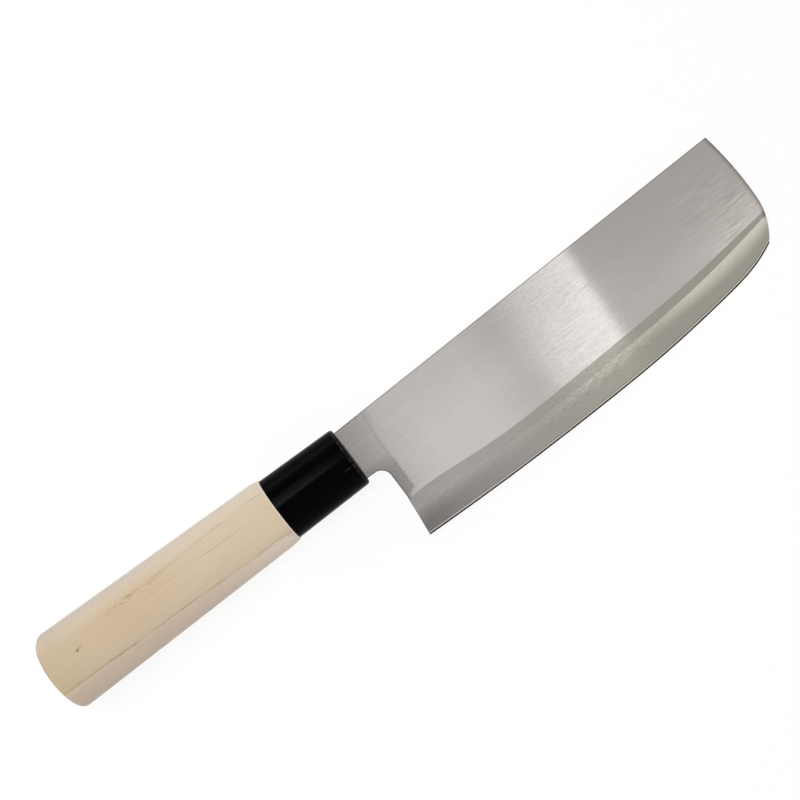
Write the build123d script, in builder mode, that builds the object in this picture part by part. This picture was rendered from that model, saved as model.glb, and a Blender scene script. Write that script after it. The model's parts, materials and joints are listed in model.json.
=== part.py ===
from build123d import *
from math import asin, atan, cos, degrees, hypot, sin
import os

os.makedirs("parts", exist_ok=True)

# A nakiri: a tall, straight vegetable knife with a hidden tang in a wooden handle.
# It is drawn in its own axes and laid on the table at the end. X runs from the ferrule's mouth to the
# blade's front end, Y from the cutting edge to the spine, and Z out of the blade's right side.

# Blade outline
blade_length = 165.0
blade_edge_depth = 40.1
heel_gap = 5.7
choil_gap = 7.5
choil_straight = 23.5
neck_half_height = 9.95
neck_fillet = 4.3
spine_height_at_front = 14.5
front_corner_setback = 2.1
front_bulge_depth = 8.6
front_turn_depth = 13.0
front_turn_setback = 0.2
tip_corner_depth = 29.15
tip_corner_setback = 6.4
outline_overrun = 4.0

# Blade thickness and grinds
stock_thickness = 2.0
face_thickness = 1.8
band_thickness = 1.5
behind_edge_thickness = 0.36
edge_bevel_height = 0.7
sheet_chamfer = 0.35
plunge_inset = 4.1
plunge_width = 0.8
plunge_flare = 1.3
plunge_flare_depth = 3.0

# Lines of the grinds: where each station lies along the blade from the heel, and how far down each line is
station_shares = (-0.02, 0.035, 0.20, 0.45, 0.66, 0.82, 0.91, 0.962, 1.02)
grind_line_shares = (0.631, 0.606, 0.643, 0.635, 0.596, 0.547, 0.505, 0.480, 0.451)
band_line_shares = (0.790, 0.729, 0.743, 0.732, 0.686, 0.622, 0.566, 0.529, 0.484)
edge_line_shares = (0.979, 0.986, 1.000, 0.990, 0.951, 0.881, 0.812, 0.726, 0.569)

# Tang, hidden in the ferrule and the handle
tang_length = 95.0
tang_root_height = 11.0
tang_end_height = 5.0
tang_root_fillet = 1.2

# Ferrule
ferrule_length = 31.5
ferrule_rear_half_height = 12.35
ferrule_front_half_height = 11.75
ferrule_rear_half_thickness = 10.5
ferrule_front_half_thickness = 10.0
ferrule_wall = 1.8
ferrule_front_wall = 3.0
ferrule_rim_fillet = 1.1
slot_clearance = 0.1

# Wooden handle
handle_length = 99.1
seam_half_height = 12.8
seam_half_thickness = 10.8
seam_fillet = 0.5
shoulder_distance = 4.0
shoulder_half_height = 13.3
shoulder_half_thickness = 11.3
shoulder_fillet = 12.0
butt_half_height = 15.3
butt_half_thickness = 12.7
butt_rise = 0.5
butt_turn_height = 9.0
butt_turn_setback = 0.45
butt_spine_setback = 4.5
butt_edge_setback = 1.4
butt_fillet = 3.0
tenon_clearance = 0.1
glue_pocket = 2.5

# Tang hole in the handle
hole_side_gap = 1.0
hole_face_gap = 0.6
hole_end_gap = 3.0

cut_overrun = 1.0
settling_turns = 6

# Places that follow from the sizes
heel_x = heel_gap
front_x = heel_gap + blade_length
shoulder_x = -ferrule_front_wall
tenon_x = shoulder_x - glue_pocket
seam_x = -ferrule_length
butt_x = seam_x - handle_length
bore_half_height = ferrule_front_half_height - ferrule_wall
bore_half_thickness = ferrule_front_half_thickness - ferrule_wall
below_blade = -blade_edge_depth - outline_overrun
below_bevels = below_blade - outline_overrun
above_blade = spine_height_at_front + outline_overrun


# One grind line, followed along the blade and past both of its ends
def grind_line_points(depth_shares, rise):
    return [
        (heel_x + blade_length * along, rise - blade_edge_depth * depth)
        for along, depth in zip(station_shares, depth_shares)
    ]


# What the wheel takes off below the grind lines, on one side. Each level is the ground-away area at one
# height above the blade's middle, and the fine bevel runs on through the middle, so the edge comes out sharp.
bevel_levels = (
    (stock_thickness / 2 + cut_overrun, grind_line_shares, 0),
    (face_thickness / 2, grind_line_shares, 0),
    (band_thickness / 2, band_line_shares, 0),
    (behind_edge_thickness / 2, edge_line_shares, edge_bevel_height),
    (-behind_edge_thickness / 2, edge_line_shares, -edge_bevel_height),
)
with BuildPart() as bevel_cut:
    for level_height, level_shares, level_rise in bevel_levels:
        with BuildSketch(Plane.XY.offset(level_height)):
            with BuildLine():
                grind_line = Spline(*grind_line_points(level_shares, level_rise))
                Polyline(
                    grind_line @ 1,
                    ((grind_line @ 1).X, below_bevels),
                    ((grind_line @ 0).X, below_bevels),
                    grind_line @ 0,
                )
            make_face()
    loft(ruled=True)

# What the wheel takes off the flat face, from a soft plunge beside the choil to the front end
plunge_x = choil_gap + plunge_inset
plunge_slope = plunge_width / (stock_thickness / 2 - face_thickness / 2)
face_cut_top = stock_thickness / 2 + cut_overrun / 2
face_levels = (
    (face_thickness / 2, plunge_x),
    (face_cut_top, plunge_x - plunge_slope * (face_cut_top - face_thickness / 2)),
)
with BuildPart() as face_cut:
    for level_height, level_x in face_levels:
        with BuildSketch(Plane.XY.offset(level_height)):
            with BuildLine():
                upright = Line((level_x, below_blade), (level_x, -plunge_flare_depth))
                flare = TangentArc(
                    upright @ 1, (level_x + plunge_flare, neck_half_height), tangent=upright % 1
                )
                Polyline(
                    flare @ 1,
                    ((flare @ 1).X, above_blade),
                    (front_x + outline_overrun, above_blade),
                    (front_x + outline_overrun, below_blade),
                    upright @ 0,
                )
            make_face()
    loft(ruled=True)

# Blade, with the neck and the tang in one sheet. Its front end is an arc, upright at its furthest point.
front_arc_height = spine_height_at_front + front_bulge_depth
front_radius = hypot(front_arc_height, front_corner_setback) ** 2 / (2 * front_corner_setback)
with BuildPart() as blade:
    with BuildSketch() as outline:
        with BuildLine():
            spine = Line(
                (0, neck_half_height), (front_x - front_corner_setback, spine_height_at_front)
            )
            front = RadiusArc(
                spine @ 1, (front_x - front_turn_setback, -front_turn_depth), front_radius
            )
            tip = TangentArc(
                front @ 1, (front_x - tip_corner_setback, -tip_corner_depth), tangent=front % 1
            )
            tip_end = Line(tip @ 1, (tip @ 1) + (tip % 1) * outline_overrun)
            choil_low = Line((heel_x, below_blade), (heel_x, -blade_edge_depth))
            choil_slant = Line(choil_low @ 1, (choil_gap, -choil_straight))
            Polyline(tip_end @ 1, ((tip_end @ 1).X, below_blade), choil_low @ 0)
            Polyline(
                choil_slant @ 1,
                (choil_gap, -neck_half_height),
                (shoulder_x, -neck_half_height),
                (shoulder_x, -tang_root_height / 2),
                (-tang_length, -tang_end_height / 2),
                (-tang_length, tang_end_height / 2),
                (shoulder_x, tang_root_height / 2),
                (shoulder_x, neck_half_height),
                spine @ 0,
            )
        make_face()
        choil_corner = outline.vertices().sort_by_distance((choil_gap, -neck_half_height))[0]
        fillet(choil_corner, radius=neck_fillet)
        for side in (-1, 1):
            tang_root = (shoulder_x, side * tang_root_height / 2)
            fillet(outline.vertices().sort_by_distance(tang_root)[0], radius=tang_root_fillet)
    extrude(amount=stock_thickness / 2, both=True)
    sheet_edges = blade.faces().filter_by(Axis.Z).edges()
    chamfer(
        sheet_edges.filter_by_position(
            Axis.X, shoulder_x, front_x + outline_overrun, inclusive=(False, True)
        ),
        length=sheet_chamfer,
    )
    add(face_cut.part, mode=Mode.SUBTRACT)
    mirror(face_cut.part, about=Plane.XY, mode=Mode.SUBTRACT)
    add(bevel_cut.part, mode=Mode.SUBTRACT)
    mirror(bevel_cut.part, about=Plane.XY, mode=Mode.SUBTRACT)

# Ferrule: a tapered oval cap, open towards the wood and slotted for the neck
with BuildPart() as ferrule:
    with BuildSketch(Plane.YZ.offset(seam_x)):
        Ellipse(ferrule_rear_half_height, ferrule_rear_half_thickness)
    with BuildSketch(Plane.YZ):
        Ellipse(ferrule_front_half_height, ferrule_front_half_thickness)
    loft(ruled=True)
    fillet(ferrule.faces().sort_by(Axis.X)[-1].edges(), radius=ferrule_rim_fillet)
    with BuildSketch(Plane.YZ.offset(seam_x)):
        Ellipse(bore_half_height, bore_half_thickness)
    extrude(amount=shoulder_x - seam_x, mode=Mode.SUBTRACT)
    with BuildSketch(Plane.YZ.offset(shoulder_x - cut_overrun)):
        Rectangle(
            2 * (neck_half_height + slot_clearance), stock_thickness + 2 * slot_clearance
        )
    extrude(amount=ferrule_front_wall + 2 * cut_overrun, mode=Mode.SUBTRACT)

# The tapered hole for the tang, cut in the handle and filled by the resin
with BuildPart() as tang_hole:
    for hole_x, tang_height in (
        (tenon_x, tang_root_height),
        (-tang_length - hole_end_gap, tang_end_height),
    ):
        with BuildSketch(Plane.YZ.offset(hole_x)):
            Rectangle(tang_height + 2 * hole_side_gap, stock_thickness + 2 * hole_face_gap)
    loft(ruled=True)

# Handle: an oval grip that thickens towards the butt, whose domed end turns in more on the spine side
with BuildPart() as handle:
    with BuildSketch(Plane.YZ.offset(seam_x)):
        Ellipse(seam_half_height, seam_half_thickness)
    with BuildSketch(Plane.YZ.offset(seam_x - shoulder_distance)):
        Ellipse(shoulder_half_height, shoulder_half_thickness)
    with BuildSketch(Plane.YZ.offset(butt_x - cut_overrun)):
        with Locations((butt_rise, 0)):
            Ellipse(butt_half_height, butt_half_thickness)
    loft(ruled=True)
    rings = handle.edges().filter_by(GeomType.ELLIPSE).sort_by(Axis.X)
    fillet(rings[1], radius=shoulder_fillet)
    with BuildSketch():
        with BuildLine():
            reach = butt_half_height + butt_rise + cut_overrun
            dome = ThreePointArc(
                (butt_x + butt_edge_setback, -reach),
                (butt_x, 0),
                (butt_x + butt_turn_setback, butt_turn_height),
            )
            turn_in = TangentArc(dome @ 1, (butt_x + butt_spine_setback, reach), tangent=dome % 1)
            behind_x = butt_x - 2 * cut_overrun
            Polyline(turn_in @ 1, (behind_x, reach), (behind_x, -reach), dome @ 0)
        make_face()
    extrude(amount=butt_half_thickness + cut_overrun, both=True, mode=Mode.SUBTRACT)
    butt_edges = handle.faces().sort_by(Axis.X)[:2].edges()
    fillet(butt_edges.filter_by(GeomType.LINE, reverse=True), radius=butt_fillet)
    fillet(handle.faces().sort_by(Axis.X)[-1].edges(), radius=seam_fillet)
    with BuildSketch(Plane.YZ.offset(seam_x)):
        Ellipse(bore_half_height - tenon_clearance, bore_half_thickness - tenon_clearance)
    extrude(amount=tenon_x - seam_x)
    add(tang_hole.part, mode=Mode.SUBTRACT)

# Resin that fills the pocket behind the ferrule's front wall and the room round the tang
with BuildPart() as tang_adhesive:
    with BuildSketch(Plane.YZ.offset(tenon_x)):
        Ellipse(bore_half_height, bore_half_thickness)
    extrude(amount=glue_pocket)
    add(tang_hole.part)
    add(blade.part, mode=Mode.SUBTRACT)


# Furthest point of an oval section below the knife's middle line, once the knife is rolled
def flank_reach(half_height, half_thickness, roll):
    return hypot(half_height * sin(roll), half_thickness * cos(roll))


# The knife rests on its left side, on the ferrule's rim, the handle's shoulder and the edge near the tip.
# Pitch and roll depend a little on each other, so they are worked out in turns.
rim_to_shoulder = ferrule_length + shoulder_distance - ferrule_rim_fillet
edge_stations = grind_line_points(edge_line_shares, 0)[1:-1]
roll = 0
for turn in range(settling_turns):
    rim_reach = flank_reach(ferrule_front_half_height, ferrule_front_half_thickness, roll)
    shoulder_reach = flank_reach(shoulder_half_height, shoulder_half_thickness, roll)
    fall = (shoulder_reach - rim_reach) / rim_to_shoulder
    roll = min(
        asin((rim_reach - fall * (along + ferrule_rim_fillet)) / -height)
        for along, height in edge_stations
    )
laid_down = Rot(Y=degrees(atan(fall))) * Rot(X=degrees(roll))

# All pieces move together, and the origin ends up on the table under the middle of the knife
pieces = {"blade": blade, "ferrule": ferrule, "handle": handle, "tang_adhesive": tang_adhesive}
for piece in pieces.values():
    piece.part.move(laid_down)
box = Compound([piece.part for piece in pieces.values()]).bounding_box()
to_origin = Pos(-box.center().X, -box.center().Y, -box.min.Z)
for name, piece in pieces.items():
    piece.part.move(to_origin)
    piece.part.label = name
    export_step(piece.part, f"parts/{name}.step")
    print(name, "valid" if piece.part.is_valid else "not valid", "volume", round(piece.part.volume))
print("roll", round(degrees(roll), 2), "pitch", round(degrees(atan(fall)), 2), "size", box.size)
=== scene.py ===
import bpy
import json
import math
from mathutils import Matrix, Vector

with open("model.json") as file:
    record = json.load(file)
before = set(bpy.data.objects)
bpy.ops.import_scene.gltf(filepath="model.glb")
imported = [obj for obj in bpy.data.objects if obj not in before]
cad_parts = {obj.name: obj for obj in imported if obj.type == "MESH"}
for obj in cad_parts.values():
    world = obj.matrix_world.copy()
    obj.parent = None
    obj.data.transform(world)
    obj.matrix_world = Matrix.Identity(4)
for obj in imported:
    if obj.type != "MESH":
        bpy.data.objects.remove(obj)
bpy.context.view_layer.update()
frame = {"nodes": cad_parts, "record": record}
millimetre = 0.001
white = (1, 1, 1, 1)

# The knife lies tilted on the table, so the camera, the lamps and the patterns are placed in the knife's own
# axes, in mm: X from the ferrule's mouth to the blade's front end, Y to the spine, Z out of the right side.
knifeAxes = {
    "faceMount": "right_face",
    "faceCentre": (90.227, -5.985, 0.9),  # where that mount lies in these axes
}
faceMount = next(mount for mount in frame["record"]["mounts"] if mount["name"] == knifeAxes["faceMount"])
zAxis = Vector(faceMount["axis"]).normalized()
xAxis = Vector((zAxis.z, 0, -zAxis.x)).normalized()
yAxis = zAxis.cross(xAxis)
knifeTurn = Matrix((xAxis, yAxis, zAxis)).transposed()
mouth = Vector(faceMount["pos_m"]) - knifeTurn @ (Vector(knifeAxes["faceCentre"]) * millimetre)


def inKnife(x, y, z):
    return mouth + knifeTurn @ (Vector((x, y, z)) * millimetre)


def linearColour(hexText):
    channels = [int(hexText[place:place + 2], 16) / 255 for place in (1, 3, 5)]
    return tuple(c / 12.92 if c <= 0.04045 else ((c + 0.055) / 1.055) ** 2.4 for c in channels) + (1,)


def addNode(tree, kind, *values, named=None, stops=(), **settings):
    # values fill the node's open inputs in their order, named ones by name, and stops fill a colour ramp
    node = tree.nodes.new("ShaderNode" + kind)
    for setting, value in settings.items():
        setattr(node, setting, value)
    for number, (place, tone) in enumerate(stops):
        stop = node.color_ramp.elements[number] if number < 2 else node.color_ramp.elements.new(place)
        stop.position, stop.color = place, (tone, tone, tone, 1)
    openInputs = [socket for socket in node.inputs if socket.enabled]
    byName = [(node.inputs[name], value) for name, value in (named or {}).items()]
    for socket, value in [*zip(openInputs, values), *byName]:
        if isinstance(value, bpy.types.Node):
            value = next(output for output in value.outputs if output.enabled)
        if isinstance(value, bpy.types.NodeSocket):
            tree.links.new(value, socket)
        else:
            socket.default_value = value
    return node


def emptyTree(owner):
    owner.use_nodes = True
    owner.node_tree.nodes.clear()
    return owner.node_tree


print("knife axes ready, ferrule mouth at", [round(v, 4) for v in mouth])

# Camera, square above the blade
cameraView = {
    "foot": (26.0, 5.3),  # the point of the blade under the middle of the picture
    "height": 620.0,  # above the blade's right side
    "turn": 37.0,  # degrees that the knife points up and to the right
    "frameWidth": 283.8,  # mm across the picture at the blade's right side
    "sensor": 36.0,
    "clip": (0.01, 20.0),  # m
}
cameraData = bpy.data.cameras.new("photoCamera")
cameraData.sensor_width = cameraView["sensor"]
cameraData.lens = cameraView["sensor"] * cameraView["height"] / cameraView["frameWidth"]
cameraData.clip_start, cameraData.clip_end = cameraView["clip"]
camera = bpy.data.objects.new("photoCamera", cameraData)
bpy.context.scene.collection.objects.link(camera)
camera.matrix_world = (
    Matrix.Translation(inKnife(*cameraView["foot"], knifeAxes["faceCentre"][2] + cameraView["height"]))
    @ knifeTurn.to_4x4()
    @ Matrix.Rotation(-math.radians(cameraView["turn"]), 4, "Z")
)
bpy.context.scene.camera = camera
bpy.context.scene.view_settings.view_transform = "Standard"
print("camera ready")

# Studio: a pale table under a soft dome that is brighter near the horizon
studio = {
    "skyColour": "#FFFDFB",
    "skyRise": (0.35, 0.90, 1.0, 0.47),  # the heights between which the dome dims, and its levels there
    "skyForMatte": 0.50,  # the dome's even level for all rays but camera, glossy and transmission ones
    "tableColour": "#F6F6F6",
    "tableLevel": 1.03,
    "tableGlow": 0.87,  # share of plain white that the camera and reflections see in the table
    "tableHalf": 3.0,  # m
}


def seenRays(tree):
    # camera, glossy and transmission rays, the ones that see the studio as it shows in the picture
    rays = addNode(tree, "LightPath").outputs
    seen = addNode(tree, "Math", rays["Is Camera Ray"], rays["Is Glossy Ray"], operation="MAXIMUM")
    return addNode(tree, "Math", seen, rays["Is Transmission Ray"], operation="MAXIMUM")


world = bpy.data.worlds.new("softDome")
bpy.context.scene.world = world
tree = emptyTree(world)
heading = addNode(tree, "SeparateXYZ", addNode(tree, "TexCoord").outputs["Generated"])
dome = addNode(tree, "MapRange", heading.outputs["Z"], *studio["skyRise"], interpolation_type="SMOOTHSTEP")
level = addNode(tree, "Mix", seenRays(tree), studio["skyForMatte"], dome)
sky = addNode(tree, "Background", linearColour(studio["skyColour"]), level)
addNode(tree, "OutputWorld", sky)

half = studio["tableHalf"]
tableMesh = bpy.data.meshes.new("table")
corners = [(-half, -half, 0), (half, -half, 0), (half, half, 0), (-half, half, 0)]
tableMesh.from_pydata(corners, [], [(0, 1, 2, 3)])
table = bpy.data.objects.new("table", tableMesh)
bpy.context.scene.collection.objects.link(table)
paleTable = bpy.data.materials.new("paleTable")
tree = emptyTree(paleTable)
glowShare = addNode(tree, "Math", seenRays(tree), studio["tableGlow"], operation="MULTIPLY")
matte = addNode(tree, "BsdfDiffuse", linearColour(studio["tableColour"]))
glow = addNode(tree, "Emission", white, studio["tableLevel"])
addNode(tree, "OutputMaterial", addNode(tree, "MixShader", glowShare, matte, glow))
tableMesh.materials.append(paleTable)

# Lamps. The blade's face mirrors the overhead panel, whose bright right edge gives the light line. The glow
# is a table of shares from a lamp's left to its right side. The blade's lower part mirrors the front panel,
# and the ferrule and the wood mirror the spine softbox. Centre and size are in mm, and slant is in degrees.
# A lamp that faces the knife is tilted towards its length, and the others shine straight down on the blade.
lamps = {
    "overheadPanel": {
        "centre": (53.5, -8.5, 301), "size": (177, 107), "level": 0.655, "facesKnife": False, "slant": -2.6,
        "glow": [(0, 0.26), (0.55, 0.26), (0.60, 0.20), (0.69, 0.08), (0.73, 0.16), (0.78, 0.34),
                 (0.83, 0.52), (0.90, 0.66), (0.93, 0.70), (0.97, 0.86), (1, 1)],
    },
    "frontPanel": {
        "centre": (100, -145, 340), "size": (420, 300), "level": 0.13, "facesKnife": False, "slant": 0,
        "glow": [(0, 1), (1, 1)],
    },
    "spineFill": {
        "centre": (0, 950, 220), "size": (300, 1000), "level": 1.3, "facesKnife": True, "slant": -90,
        "glow": [(0, 1), (1, 1)],
    },
    "spineSoftbox": {
        "centre": (-309, 330, 807), "size": (434, 552), "level": 7.0, "facesKnife": True, "slant": -90,
        "glow": [(0, 0.3), (0.45, 0.5), (0.8, 1), (1, 1)],
    },
}
for name, lamp in lamps.items():
    lampData = bpy.data.lights.new(name, "AREA")
    lampData.shape = "RECTANGLE"
    width, length = (side * millimetre for side in lamp["size"])
    lampData.size, lampData.size_y = width, length
    lampData.energy = lamp["level"] * math.pi * width * length  # level is the brightness of its surface
    tree = emptyTree(lampData)
    across = addNode(tree, "SeparateXYZ", addNode(tree, "NewGeometry").outputs["Parametric"])
    shine = addNode(tree, "Emission", white, addNode(tree, "ValToRGB", across, stops=lamp["glow"]))
    addNode(tree, "OutputLight", shine)
    holder = bpy.data.objects.new(name, lampData)
    bpy.context.scene.collection.objects.link(holder)
    centre = Vector(lamp["centre"])
    tilt = -math.atan2(centre.y, centre.z) if lamp["facesKnife"] else 0.0
    aim = Matrix.Rotation(tilt, 3, "X") @ Matrix.Rotation(math.radians(lamp["slant"]), 3, "Z")
    holder.matrix_world = Matrix.Translation(inKnife(*centre)) @ (knifeTurn @ aim).to_4x4()
    holder.visible_camera = False
print("studio ready:", len(lamps), "lamps")

# In the settings below, a range gives two places or noise values and, where they aren't 0 and 1, the values
# there. A table gives places and the values there. A noise gives the size of its marks along X, Y and Z, its
# detail, and a place of its own so that no two are alike. All lengths are in mm.
noiseRoughness = 0.55  # of every noise


def knifePoint(tree):
    # the surface point in the knife's own axes, in mm
    coordinates = addNode(tree, "TexCoord").outputs["Object"]
    turn = knifeTurn.to_euler()
    return addNode(tree, "Mapping", coordinates, mouth, turn, (millimetre,) * 3, vector_type="TEXTURE")


def towards(tree, axis):
    # how squarely the surface faces along one of the knife's axes, negative where it faces back
    normal = addNode(tree, "TexCoord").outputs["Normal"]
    return addNode(tree, "VectorMath", normal, axis, operation="DOT_PRODUCT")


def facing(tree, axis):
    # the same to either side
    return addNode(tree, "Math", towards(tree, axis), operation="ABSOLUTE")


def streaks(tree, point, size, detail, place):
    # noise between 0 and 1, round 0.5, drawn out to the given size
    stretched = addNode(tree, "Mapping", point, (place,) * 3, (0, 0, 0), tuple(1 / side for side in size))
    return addNode(tree, "TexNoise", stretched, 1.0, detail, noiseRoughness)


def profile(tree, value, points):
    # a value between 0 and 1 read from a table of places and values
    start, end = points[0][0], points[-1][0]
    share = addNode(tree, "MapRange", value, start, end)
    stops = [((place - start) / (end - start), tone) for place, tone in points]
    return addNode(tree, "ValToRGB", share, stops=stops)


def nearness(tree, point, centre, size, fall):
    # a value read from the distance to a spot, where the range counts in sizes of the spot
    away = addNode(tree, "VectorMath", point, centre, operation="SUBTRACT")
    away = addNode(tree, "VectorMath", away, size, operation="DIVIDE")
    away = addNode(tree, "VectorMath", away, operation="LENGTH")
    return addNode(tree, "MapRange", away, *fall)


def finishMaterial(node, material):
    mesh = frame["nodes"][node].data
    mesh.materials.clear()
    mesh.materials.append(material)
    print("material", material.name, "on", node)


# Blade: stainless knife steel, ground and satin brushed lengthwise. The brushing blurs reflections across the
# blade and keeps them sharp along it, and each ground zone has a tone of its own.
blade = {
    "steel": "#E2DDDA",
    "heelTint": (1.0, 0.99, 1.0, 1.0),  # the ground zones are neutral at the heel and greenish at the front
    "frontTint": (0.985, 1.0, 0.905, 1.0),
    "tintChange": (15.0, 95.0),
    "tipTint": (136.0, 152.0, 0.0, 0.25),  # share of that tint that the face takes near its front corner
    "brushes": {  # real lines and scuffs are about 0.05 mm wide, drawn coarser so that they show
        "fine": ((45.0, 0.45, 0.45), 3.0, 0.0),
        "mid": ((80.0, 1.7, 1.7), 2.0, 7.0),
        "broad": ((170.0, 9.0, 9.0), 1.0, 31.0),
        "short": ((6.0, 0.5, 0.5), 2.0, 13.0),
        "tooth": ((1.6, 0.4, 0.4), 2.0, 43.0),
        "scuff": ((7.0, 0.27, 0.27), 2.0, 61.0),
        "patch": ((9.0, 4.0, 4.0), 2.0, 83.0),
    },
    # the neck's own darker tone, over the distance from the ferrule's mouth, with painted shade that deepens
    # towards the mouth and fades past the neck's boundary
    "neckTonesAndShade": [(0, 0.46), (3, 0.51), (6, 0.575), (9, 0.635), (11.2, 0.71), (12.4, 0.80), (16, 0.875),
                  (20, 0.925), (27, 0.995), (60, 1.0)],
    "upperTonesAndShade": [(0, 0.48), (3, 0.54), (6, 0.60), (9, 0.66), (12, 0.76), (14, 0.90), (16, 0.94),
                   (20, 0.975), (27, 1.0), (60, 1.0)],  # near the spine, where the neck's boundary is soft
    "upperNeck": (-1.0, 8.0),
    "plungeFlare": (-3.0, 9.95),  # between these heights the neck's boundary bends forward
    "flareReach": 1.3,
    "neckBoundary": (11.2, 12.4, 1.0, 0.0),
    "boundaryWander": 2.6,
    "stripEnd": (-22.0, -26.5, 0.0, 6.0),  # the dark strip along the choil tapers off at its lower end
    "choilShade": (-6.0, -12.0, 0.0, 0.2),
    # the ground zones, told apart by half the blade's thickness: edge bevel, main bevel, dull band and face.
    # The edge bevel's lower half is painted near black, a painted dark reflection
    "zoneTonesAndEdgeReflection": [(0.0, 0.01), (0.135, 0.01), (0.144, 1.0), (0.195, 1.0), (0.200, 0.57), (0.220, 0.57),
                   (0.228, 0.70), (0.896, 0.70), (0.899, 1.0), (1.0, 1.0)],
    "faceEdge": (0.899, 0.896),
    "lineFray": (0.46, 0.60, 0.0, 0.035),  # scuffs that cross the grind line, most at the heel
    "frayReach": (12.0, 50.0, 1.0, 0.0),
    # the face is lighter low down, most at the front corner, and darker in its middle past the light line
    "lowLight": [(0, 0.10), (48, 0.10), (60, 0), (72, 0), (75, 0.30), (80, 0.30), (94, 0.26), (104, 0.10),
                 (112, 0.02), (130, 0.06), (142, 0.30), (162, 0.92), (171, 0.95)],
    "lowRise": (-5.0, -20.0),
    "lowGain": 0.3,
    "midShade": [(-24, 0), (-16, 0), (-8, 1), (4, 0.5), (12, 0.35)],
    "midStart": (104.0, 132.0),
    "midGain": -0.08,
    # scuffs on the face and on the ground zones, over the length
    "faceScuffs": [(0, 0.1), (70, 0.1), (84, 0.5), (104, 0.55), (108, 0.08), (140, 0.1), (150, 0.7),
                   (160, 0.95), (168, 0.8), (171, 0.3)],
    "groundScuffs": [(0, 0.4), (14, 0.5), (45, 0.35), (70, 0.15), (84, 0.45), (100, 0.6), (108, 0.5),
                     (116, 0.15), (171, 0.12)],
    "scuffRange": (0.35, 0.65, -1.0, 1.0),
    "patchRange": (0.35, 0.62, 0.25, 1.0),
    "scuffEnd": (110.0, 140.0),  # past here the scuffs keep off the upper part of the face
    "scuffTop": (7.0, 0.0, 0.1, 1.0),
    "scuffFall": (0.45, 0.68, 0.25, 1.0),
    "scuffDepth": 0.24,
    # fine grit, strongest on the main bevel below the light line
    "gritAlong": [(0, 0.2), (54, 0.2), (66, 0.5), (84, 1.0), (104, 1.0), (112, 0.35), (124, 0.2),
                  (171, 0.35)],
    "gritDown": [(0, 0), (0.42, 0), (0.53, 1.0), (0.75, 1.0), (0.80, 0.5), (0.895, 0.5), (0.90, 0.3),
                 (1.0, 0.3)],
    "gritRange": (0.35, 0.65, -1.0, 1.0),
    "gritDepth": 0.19,
    # where the front end lies at each height, as a share that frontReach turns into mm
    "frontEnd": [(-30, 1.0), (-22.5, 1.0), (-21, 0.784), (-17, 0.90), (-13, 0.95), (-8.6, 0.97), (0, 0.941),
                 (8, 0.86), (14.5, 0.76)],
    "frontReach": (10.0, 161.0),  # gain and base
    "frontMarginShade": [(0, 0.45), (0.3, 0.50), (0.7, 0.70), (1.0, 0.80), (1.8, 1.0)],  # painted shade along the front end's rounded margin
    # the main bevel, over its half thickness and from its top down
    "bevelZone": [(0, 0), (0.203, 0), (0.207, 1), (0.748, 1), (0.752, 0), (1, 0)],
    "bevelDepths": (0.75, 0.18),
    "heelCorner": (8.0, 22.0, 0.84, 1.0),
    "heelShade": (0.0, 65.0, 1.0, 0.0),
    "heelDown": (0.1, 0.6, 0.10, 0.41),
    "topLight": [(0, 0.02), (20, 0.10), (64, 0.12), (84, 0.30), (108, 0.44), (116, 0.42), (132, 0.80),
                 (140, 0.82), (155, 0.84), (170, 0.90)],
    "topReach": (110.0, 165.0, 0.45, 0.80),
    # the turned sides of the full sheet are painted dark, a painted shade, and the cut ends of the ground
    # zones are lighter
    "rimTurn": (0.95, 0.90),
    "rimDepth": (0.6, 0.66),
    "rimShade": 0.16,
    "cutTurn": (0.5, 0.3),
    "cutDepth": (0.72, 0.64),
    "cutTone": 0.75,
    "grainBase": 0.90,
    "grainShares": {"fine": 0.07, "mid": 0.05, "broad": 0.08},  # what each noise adds to the tone
    "roughness": (0.05, 0.10),  # what the ground zones add, and the face's own
    "brushRoughness": 0.03,
    "anisotropy": 0.9,
    "brushTilt": 0.010,  # how far single brush lines lean, which frays the light line
    "fineLean": 0.6,
    "meanLean": 0.8,  # the lines' mean, which is taken off again
}
stainless = bpy.data.materials.new("satinStainless")
tree = emptyTree(stainless)
point = knifePoint(tree)
px, py, pz = addNode(tree, "SeparateXYZ", point).outputs
depth = addNode(tree, "Math", pz, operation="ABSOLUTE")
squareness = facing(tree, zAxis)
brush = {name: streaks(tree, point, *lines) for name, lines in blade["brushes"].items()}

# the neck is darker up to a frayed boundary, which runs on down the choil, and painted shade deepens it
# towards the ferrule
bend = addNode(tree, "MapRange", py, *blade["plungeFlare"])
bend = addNode(tree, "Math", bend, 2.0, operation="POWER")
wander = addNode(tree, "Math", brush["short"], 0.5, operation="SUBTRACT")
front = addNode(tree, "Math", bend, -blade["flareReach"], px, operation="MULTIPLY_ADD")
front = addNode(tree, "Math", addNode(tree, "MapRange", py, *blade["stripEnd"]), front, operation="ADD")
front = addNode(tree, "Math", wander, blade["boundaryWander"], front, operation="MULTIPLY_ADD")
onNeck = addNode(tree, "MapRange", front, *blade["neckBoundary"])
choilShade = addNode(tree, "MapRange", py, *blade["choilShade"])
choilShade = addNode(tree, "Math", onNeck, choilShade, operation="MULTIPLY")
onUpper = addNode(tree, "MapRange", py, *blade["upperNeck"])
upperTone = profile(tree, front, blade["upperTonesAndShade"])
tone = addNode(tree, "Mix", onUpper, profile(tree, front, blade["neckTonesAndShade"]), upperTone)
tone = addNode(tree, "Math", tone, choilShade, operation="SUBTRACT")

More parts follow.
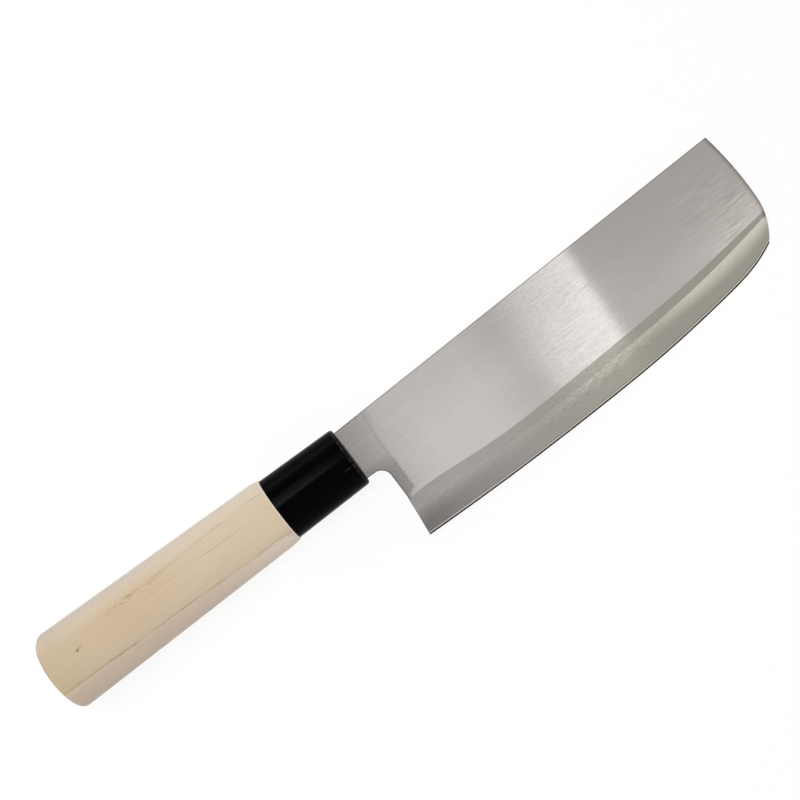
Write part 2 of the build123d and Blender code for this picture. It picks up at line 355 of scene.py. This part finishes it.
# the ground zones keep off the neck's tone and have tones of their own
fray = addNode(tree, "MapRange", brush["scuff"], *blade["lineFray"])
frayReach = addNode(tree, "MapRange", px, *blade["frayReach"])
frayed = addNode(tree, "Math", fray, frayReach, depth, operation="MULTIPLY_ADD")
ground = addNode(tree, "MapRange", frayed, *blade["faceEdge"])
onFace = addNode(tree, "Math", 1.0, ground, operation="SUBTRACT")
tone = addNode(tree, "Mix", ground, tone, 1.0)
# here the edge bevel's lower half is painted near black, a painted dark reflection
tone = addNode(tree, "Math", tone, profile(tree, depth, blade["zoneTonesAndEdgeReflection"]), operation="MULTIPLY")

# light and shade of the face
lowLight = addNode(tree, "MapRange", py, *blade["lowRise"])
lowLight = addNode(tree, "Math", lowLight, profile(tree, px, blade["lowLight"]), operation="MULTIPLY")
midShade = addNode(tree, "MapRange", px, *blade["midStart"])
midShade = addNode(tree, "Math", midShade, profile(tree, py, blade["midShade"]), operation="MULTIPLY")
light = addNode(tree, "Math", lowLight, blade["lowGain"], operation="MULTIPLY")
light = addNode(tree, "Math", midShade, blade["midGain"], light, operation="MULTIPLY_ADD")
light = addNode(tree, "Math", light, onFace, 1.0, operation="MULTIPLY_ADD")
tone = addNode(tree, "Math", tone, light, operation="MULTIPLY")

# wear: short scuffs and fine grit, and painted shade along the rounded margin of the front end
patches = addNode(tree, "MapRange", brush["patch"], *blade["patchRange"])
scuffTop = addNode(tree, "MapRange", py, *blade["scuffTop"])
scuffTop = addNode(tree, "Mix", addNode(tree, "MapRange", px, *blade["scuffEnd"]), 1.0, scuffTop)
scuffed = addNode(tree, "Math", profile(tree, px, blade["faceScuffs"]), scuffTop, operation="MULTIPLY")
scuffed = addNode(tree, "Mix", ground, scuffed, profile(tree, px, blade["groundScuffs"]))
scuffed = addNode(tree, "Math", scuffed, blade["scuffDepth"], operation="MULTIPLY")
scuffed = addNode(tree, "Math", scuffed, patches, operation="MULTIPLY")
scuffFall = addNode(tree, "MapRange", depth, *blade["scuffFall"])
scuffed = addNode(tree, "Math", scuffed, scuffFall, operation="MULTIPLY")
scuffs = addNode(tree, "MapRange", brush["scuff"], *blade["scuffRange"])
scuffs = addNode(tree, "Math", scuffs, scuffed, 1.0, operation="MULTIPLY_ADD")
tone = addNode(tree, "Math", tone, scuffs, operation="MULTIPLY")
gritDown = profile(tree, depth, blade["gritDown"])
gritted = addNode(tree, "Math", profile(tree, px, blade["gritAlong"]), gritDown, operation="MULTIPLY")
gritted = addNode(tree, "Math", gritted, blade["gritDepth"], operation="MULTIPLY")
grit = addNode(tree, "MapRange", brush["tooth"], *blade["gritRange"])
grit = addNode(tree, "Math", grit, gritted, 1.0, operation="MULTIPLY_ADD")
tone = addNode(tree, "Math", tone, grit, operation="MULTIPLY")
frontEnd = profile(tree, py, blade["frontEnd"])
frontEnd = addNode(tree, "Math", frontEnd, *blade["frontReach"], operation="MULTIPLY_ADD")
margin = addNode(tree, "Math", frontEnd, px, operation="SUBTRACT")
tone = addNode(tree, "Math", tone, profile(tree, margin, blade["frontMarginShade"]), operation="MULTIPLY")

# the main bevel is darker at the heel, and lighter along its top
corner = addNode(tree, "MapRange", px, *blade["heelCorner"])
corner = addNode(tree, "Mix", ground, 1.0, corner)
tone = addNode(tree, "Math", tone, corner, operation="MULTIPLY")
onBevel = profile(tree, depth, blade["bevelZone"])
bevelDown = addNode(tree, "MapRange", depth, *blade["bevelDepths"])
heelShade = addNode(tree, "MapRange", px, *blade["heelShade"], interpolation_type="SMOOTHSTEP")
heelDown = addNode(tree, "MapRange", bevelDown, *blade["heelDown"])
heelShade = addNode(tree, "Math", heelShade, heelDown, operation="MULTIPLY")
topReach = addNode(tree, "MapRange", px, *blade["topReach"])
topLight = addNode(tree, "MapRange", bevelDown, 0.0, topReach, 1.0, 0.0, interpolation_type="SMOOTHSTEP")
topLight = addNode(tree, "Math", topLight, profile(tree, px, blade["topLight"]), operation="MULTIPLY")
change = addNode(tree, "Math", topLight, heelShade, operation="SUBTRACT")
change = addNode(tree, "Math", change, onBevel, 1.0, operation="MULTIPLY_ADD")
tone = addNode(tree, "Math", tone, change, operation="MULTIPLY")

# the sides that aren't flat: painted shade on the turned sides, and a lighter tone on the cut ends
for turn, reach, shade in (("rimTurn", "rimDepth", "rimShade"), ("cutTurn", "cutDepth", "cutTone")):
    turned = addNode(tree, "MapRange", squareness, *blade[turn])
    within = addNode(tree, "MapRange", depth, *blade[reach])
    turned = addNode(tree, "Math", turned, within, operation="MULTIPLY")
    tone = addNode(tree, "Mix", turned, tone, blade[shade])

# the brushing, in the tone, the roughness and the lean of the surface
grain = blade["grainBase"]
for name, share in blade["grainShares"].items():
    grain = addNode(tree, "Math", brush[name], share, grain, operation="MULTIPLY_ADD")
tone = addNode(tree, "Math", tone, grain, operation="MULTIPLY")
colour = addNode(tree, "VectorMath", linearColour(blade["steel"])[:3], tone, operation="SCALE")
tint = addNode(tree, "MapRange", px, *blade["tintChange"])
tint = addNode(tree, "Mix", tint, blade["heelTint"], blade["frontTint"], data_type="RGBA")
tintShare = addNode(tree, "Mix", ground, addNode(tree, "MapRange", px, *blade["tipTint"]), 1.0)
colour = addNode(tree, "Mix", tintShare, colour, tint, data_type="RGBA", blend_type="MULTIPLY")

rough = addNode(tree, "Math", ground, *blade["roughness"], operation="MULTIPLY_ADD")
rough = addNode(tree, "Math", brush["mid"], blade["brushRoughness"], rough, operation="MULTIPLY_ADD")
lean = addNode(tree, "Math", brush["fine"], blade["fineLean"], brush["tooth"], operation="MULTIPLY_ADD")
lean = addNode(tree, "Math", lean, blade["meanLean"], operation="SUBTRACT")
lean = addNode(tree, "Math", lean, blade["brushTilt"], operation="MULTIPLY")
leaned = addNode(tree, "VectorMath", xAxis, lean, operation="SCALE")
surface = addNode(tree, "NewGeometry").outputs
normal = addNode(tree, "Mix", ground, surface["True Normal"], surface["Normal"], data_type="VECTOR")
leaned = addNode(tree, "VectorMath", normal, leaned, operation="ADD")
leaned = addNode(tree, "VectorMath", leaned, operation="NORMALIZE")
shader = addNode(tree, "BsdfPrincipled", named={
    "Base Color": colour, "Metallic": 1.0, "Roughness": rough, "Anisotropic": blade["anisotropy"],
    "Tangent": addNode(tree, "CombineXYZ", *yAxis), "Normal": leaned,
})
addNode(tree, "OutputMaterial", shader)
finishMaterial("blade", stainless)

# Ferrule: black ABS, injection moulded in a polished tool, which gives it a deep gloss. A highlight is
# painted along its front rim, and it has a short light dash.
ferrule = {
    "plastic": ("#010101", "#030303"),
    "handling": ((14.0, 0.8, 0.8), 3.0, 5.0),
    "clouds": ((9.0, 7.0, 7.0), 2.0, 17.0),
    "lightDash": (-3.2, -3.2, 9.9),
    "dashSize": (2.3, 0.3, 0.6),
    "dashFall": (1.0, 0.4, 0.0, 0.03),
    "rimStart": (0.08, 0.30),  # how far the rim has turned forward where its painted highlight starts and ends
    "rimEnd": (0.45, 0.75, 1.0, 0.0),
    "rimHighlightBreaks": ((3.0, 1.6, 1.6), 2.0, 53.0),
    "rimRange": (0.4, 0.6, 0.2, 1.0),
    "rimHighlight": 0.035,
    "roughness": (0.10, 0.09),  # what the marks of handling add, and the plastic's own
    "mouthTurn": (0.3, 0.8),
    "mouthRoughness": 0.4,  # the mouth's face is left matt
    "ior": 1.53,
    "specular": 0.024,
    "relief": 0.2,
    "reliefDistance": 0.00002,  # m
}
blackAbs = bpy.data.materials.new("polishedBlackAbs")
tree = emptyTree(blackAbs)
point = knifePoint(tree)
marks = streaks(tree, point, *ferrule["handling"])
clouds = streaks(tree, point, *ferrule["clouds"])
colour = addNode(tree, "Mix", marks, *[linearColour(text) for text in ferrule["plastic"]], data_type="RGBA")
# a short light dash near the ferrule's front
lightDash = nearness(tree, point, ferrule["lightDash"], ferrule["dashSize"], ferrule["dashFall"])
ahead = towards(tree, xAxis)
# a painted highlight along the front rim's fillet, broken up by noise
onRim = addNode(tree, "Math", addNode(tree, "MapRange", ahead, *ferrule["rimStart"]),
                addNode(tree, "MapRange", ahead, *ferrule["rimEnd"]), operation="MULTIPLY")
rimHighlightBreaks = addNode(tree, "MapRange", streaks(tree, point, *ferrule["rimHighlightBreaks"]), *ferrule["rimRange"])
onRim = addNode(tree, "Math", onRim, rimHighlightBreaks, operation="MULTIPLY")
rimHighlightAndDash = addNode(tree, "Math", onRim, ferrule["rimHighlight"], lightDash, operation="MULTIPLY_ADD")
colour = addNode(tree, "VectorMath", colour, addNode(tree, "CombineXYZ", rimHighlightAndDash, rimHighlightAndDash, rimHighlightAndDash), operation="ADD")
rough = addNode(tree, "Math", marks, *ferrule["roughness"], operation="MULTIPLY_ADD")
onMouth = addNode(tree, "MapRange", ahead, *ferrule["mouthTurn"])
rough = addNode(tree, "Mix", onMouth, rough, ferrule["mouthRoughness"])
relief = addNode(tree, "Bump", named={
    "Strength": ferrule["relief"], "Distance": ferrule["reliefDistance"], "Height": clouds,
})
shader = addNode(tree, "BsdfPrincipled", named={
    "Base Color": colour, "Roughness": rough, "Normal": relief,
    "IOR": ferrule["ior"], "Specular IOR Level": ferrule["specular"],
})
addNode(tree, "OutputMaterial", shader)
finishMaterial("ferrule", blackAbs)

# Handle: magnolia, turned oval, sanded and left bare, so it is dull and shows its growth rings. They run
# round a pith far outside the handle.
handle = {
    "early": "#D6C2A8",  # between the rings
    "green": "#D5C3A9",  # broad tints
    "late": "#A88F72",  # the ring lines
    "pink": "#DAC4AF",  # below the main ring
    "paleFront": "#EADBCB",  # the front part of the pink zone
    "flankSheen": "#D3CEC9",  # a painted sheen where the grip turns to the spine side or the edge side
    "warm": "#D2B792",
    "handled": "#C9B384",  # yellowed by hands, at the butt
    "endGrain": "#B59E7E",
    "knotWood": "#75653F",
    "splitWood": "#8E7550",
    "seamWood": "#F0E7D8",
    "pith": (59.3, -25.0),
    "slope": 0.005,  # sideways drift of the grain per mm of length
    "ringBends": [  # noise and how far it bends the rings
        ((60.0, 10.0, 10.0), 2.0, 2.0, 1.4),
        ((7.0, 2.0, 2.0), 2.0, 29.0, 0.7),
        ((1.6, 1.0, 1.0), 2.0, 47.0, 0.5),
    ],
    "ringTurn": 0.045,  # how fast the upper rings lean against the main one, per mm of length
    "turnPlace": 57.0,  # how far behind the mouth the lean is nought
    "turnRadii": (66.5, 63.0),
    "ringSpan": (45.0, 90.0),  # radii that the ring table covers
    "rings": [(49.0, 0.3), (55.3, 0.2), (61.7, 0.75), (67.2, 0.5), (75.6, 1.0), (79.6, 0.35)],
    "ringLine": 0.24,
    "ringRise": 2.2,
    "ringShoulder": 0.08,  # share of the tone that is there just inside the line
    "ringBreaks": ((16.0, 3.0, 3.0), 3.0, 11.0),
    "breakRange": (0.40, 0.60, 0.25, 1.0),
    "mainRing": (70.0, 73.0),
    "mainFade": (-80.0, -58.0, 1.0, 0.5),
    "upperFade": (-107.0, -99.0, 0.1, 1.0),
    "pinkRadii": (75.4, 76.4),
    "paleReach": (-72.0, -36.0, 0.0, 0.7),
    "sheenTurn": (0.5, 0.95, 0.0, 0.5),
    "sheenHeight": (-4.0, 4.0, 0.5, 1.0),
    "handledReach": (-108.0, -124.0, 0.0, 0.3),
    "tints": ((24.0, 8.0, 8.0), 1.0, 41.0),
    "tintRange": (0.35, 0.65),
    "figure": ((28.0, 1.3, 1.3), 3.0, 19.0),
    "pores": ((6.0, 0.38, 0.38), 2.0, 23.0),  # real pores are 0.1 mm wide, drawn coarser so that they show
    "poreRange": (0.60, 0.74),
    "spots": [  # centre, size, range of the share and wood: a warm patch, a pin knot and its tail
        ((-93.0, 3.0, 9.0), (26.0, 8.0, 10.0), (1.2, 0.1, 0.0, 0.8), "warm"),
        ((-116.2, 3.2, 11.0), (0.9, 0.75, 4.0), (1.0, 0.3, 0.0, 0.9), "knotWood"),
        ((-114.9, 3.7, 11.0), (1.6, 0.5, 4.0), (1.0, 0.2, 0.0, 0.4), "knotWood"),
    ],
    "splitPlace": ((-90.0, 7.2, 9.0), (12.0, 1.3, 8.0), (1.3, 0.5)),  # centre, size and range
    "splitGrain": ((4.0, 0.5, 0.5), 3.0, 71.0),
    "splitRange": (0.52, 0.60, 0.0, 0.7),
    "endTurn": (0.6, 0.95, 0.0, 0.35),
    "seamReach": (-32.1, -31.8, 0.0, 0.8),  # pale cut rim beside the ferrule
    "figureShade": (0.12, 0.94),  # gain and base
    "poreShade": -0.06,
    "lengthShade": (-128.0, -35.0, 0.98, 1.12),  # painted shade, a little darker towards the butt
    # painted light and shade over the grip's height
    "crossShade": [(-16, 0.93), (-12, 0.95), (-8.5, 0.955), (-7.5, 1.01), (-4, 1.01), (0, 0.985), (4, 0.95),
                   (8, 0.955), (10, 0.99), (12, 1.0), (14, 0.97), (16, 0.95)],
    "figureRoughness": (0.16, 0.48),  # gain and base
    "ior": 1.5,
    "specular": 0.35,
    "figureHeight": 0.3,
    "poreHeight": -1.0,
    "relief": 0.4,
    "reliefDistance": 0.00005,  # m
}
magnolia = bpy.data.materials.new("sandedMagnolia")
tree = emptyTree(magnolia)
point = knifePoint(tree)
px, py, pz = addNode(tree, "SeparateXYZ", point).outputs

# each point's radius from the pith, bent by noise, whose mean is taken off again
drift = addNode(tree, "Math", px, handle["slope"], py, operation="MULTIPLY_ADD")
toPith = addNode(tree, "CombineXYZ", drift, pz)
radius = addNode(tree, "VectorMath", toPith, (*handle["pith"], 0), operation="DISTANCE")
for *noise, reach in handle["ringBends"]:
    radius = addNode(tree, "Math", streaks(tree, point, *noise), reach, radius, operation="MULTIPLY_ADD")
meanBend = sum(reach for *noise, reach in handle["ringBends"]) / 2
radius = addNode(tree, "Math", radius, meanBend, operation="SUBTRACT")
turning = addNode(tree, "MapRange", radius, *handle["turnRadii"])
turn = addNode(tree, "Math", px, handle["turnPlace"], operation="ADD")
turn = addNode(tree, "Math", turn, turning, operation="MULTIPLY")
radius = addNode(tree, "Math", turn, handle["ringTurn"], radius, operation="MULTIPLY_ADD")

# a growth ring rises slowly to a thin dark line and ends sharply
low, high = handle["ringSpan"]
ringTones = [(low, 0.0)]
for ring, strength in handle["rings"]:
    shoulder = strength * handle["ringShoulder"]
    ringTones += [(ring - handle["ringRise"], 0.0), (ring - handle["ringLine"], shoulder), (ring, strength),
                  (ring + handle["ringLine"], 0.0)]
lines = profile(tree, radius, [*ringTones, (high, 0.0)])
breaks = addNode(tree, "MapRange", streaks(tree, point, *handle["ringBreaks"]), *handle["breakRange"])
lines = addNode(tree, "Math", lines, breaks, operation="MULTIPLY")
upperFade, mainFade = (addNode(tree, "MapRange", px, *handle[fade]) for fade in ("upperFade", "mainFade"))
fade = addNode(tree, "Mix", addNode(tree, "MapRange", radius, *handle["mainRing"]), upperFade, mainFade)
lines = addNode(tree, "Math", lines, fade, operation="MULTIPLY")

# woods and stains, laid over each other
tints = addNode(tree, "MapRange", streaks(tree, point, *handle["tints"]), *handle["tintRange"])
handled = addNode(tree, "MapRange", px, *handle["handledReach"])
pinkShare = addNode(tree, "MapRange", radius, *handle["pinkRadii"])
paleShare = addNode(tree, "MapRange", px, *handle["paleReach"])
paleShare = addNode(tree, "Math", paleShare, pinkShare, operation="MULTIPLY")
# a painted sheen, pale grey, on the flanks, fuller on the spine side
sheenShare = addNode(tree, "MapRange", facing(tree, yAxis), *handle["sheenTurn"])
sheenHeight = addNode(tree, "MapRange", py, *handle["sheenHeight"])
sheenShare = addNode(tree, "Math", sheenShare, sheenHeight, operation="MULTIPLY")
split = addNode(tree, "MapRange", streaks(tree, point, *handle["splitGrain"]), *handle["splitRange"])
split = addNode(tree, "Math", split, nearness(tree, point, *handle["splitPlace"]), operation="MULTIPLY")
endShare = addNode(tree, "MapRange", facing(tree, xAxis), *handle["endTurn"])
seamShare = addNode(tree, "MapRange", px, *handle["seamReach"])
layers = [(tints, "green"), (handled, "handled"), (pinkShare, "pink"), (paleShare, "paleFront"),
          (sheenShare, "flankSheen"), (lines, "late")]
layers += [(nearness(tree, point, *spot), wood) for *spot, wood in handle["spots"]]
layers += [(split, "splitWood"), (endShare, "endGrain"), (seamShare, "seamWood")]
colour = linearColour(handle["early"])
for share, wood in layers:
    colour = addNode(tree, "Mix", share, colour, linearColour(handle[wood]), data_type="RGBA")

# figure, pores and the painted shade over length and height
figure = streaks(tree, point, *handle["figure"])
pores = addNode(tree, "MapRange", streaks(tree, point, *handle["pores"]), *handle["poreRange"])
shade = addNode(tree, "Math", figure, *handle["figureShade"], operation="MULTIPLY_ADD")
shade = addNode(tree, "Math", pores, handle["poreShade"], shade, operation="MULTIPLY_ADD")
shade = addNode(tree, "Math", shade, addNode(tree, "MapRange", px, *handle["lengthShade"]), operation="MULTIPLY")
shade = addNode(tree, "Math", shade, profile(tree, py, handle["crossShade"]), operation="MULTIPLY")
colour = addNode(tree, "VectorMath", colour, shade, operation="SCALE")
rough = addNode(tree, "Math", figure, *handle["figureRoughness"], operation="MULTIPLY_ADD")
height = addNode(tree, "Math", pores, handle["poreHeight"], operation="MULTIPLY")
height = addNode(tree, "Math", figure, handle["figureHeight"], height, operation="MULTIPLY_ADD")
relief = addNode(tree, "Bump", named={
    "Strength": handle["relief"], "Distance": handle["reliefDistance"], "Height": height,
})
shader = addNode(tree, "BsdfPrincipled", named={
    "Base Color": colour, "Roughness": rough, "Normal": relief,
    "IOR": handle["ior"], "Specular IOR Level": handle["specular"],
})
addNode(tree, "OutputMaterial", shader)
finishMaterial("handle", magnolia)

# Tang adhesive: epoxy, cured in the joint, amber and half glossy. The ferrule and the wood hide it.
adhesive = {
    "resin": ("#7A6238", "#96804F"),
    "clouds": ((1.5, 1.5, 1.5), 3.0, 0.0),
    "cloudRoughness": (0.2, 0.35),  # gain and base
    "ior": 1.55,
}
curedEpoxy = bpy.data.materials.new("curedEpoxy")
tree = emptyTree(curedEpoxy)
clouds = streaks(tree, knifePoint(tree), *adhesive["clouds"])
colour = addNode(tree, "Mix", clouds, *[linearColour(text) for text in adhesive["resin"]], data_type="RGBA")
rough = addNode(tree, "Math", clouds, *adhesive["cloudRoughness"], operation="MULTIPLY_ADD")
shader = addNode(tree, "BsdfPrincipled", named={
    "Base Color": colour, "Roughness": rough, "IOR": adhesive["ior"],
})
addNode(tree, "OutputMaterial", shader)
finishMaterial("tang_adhesive", curedEpoxy)
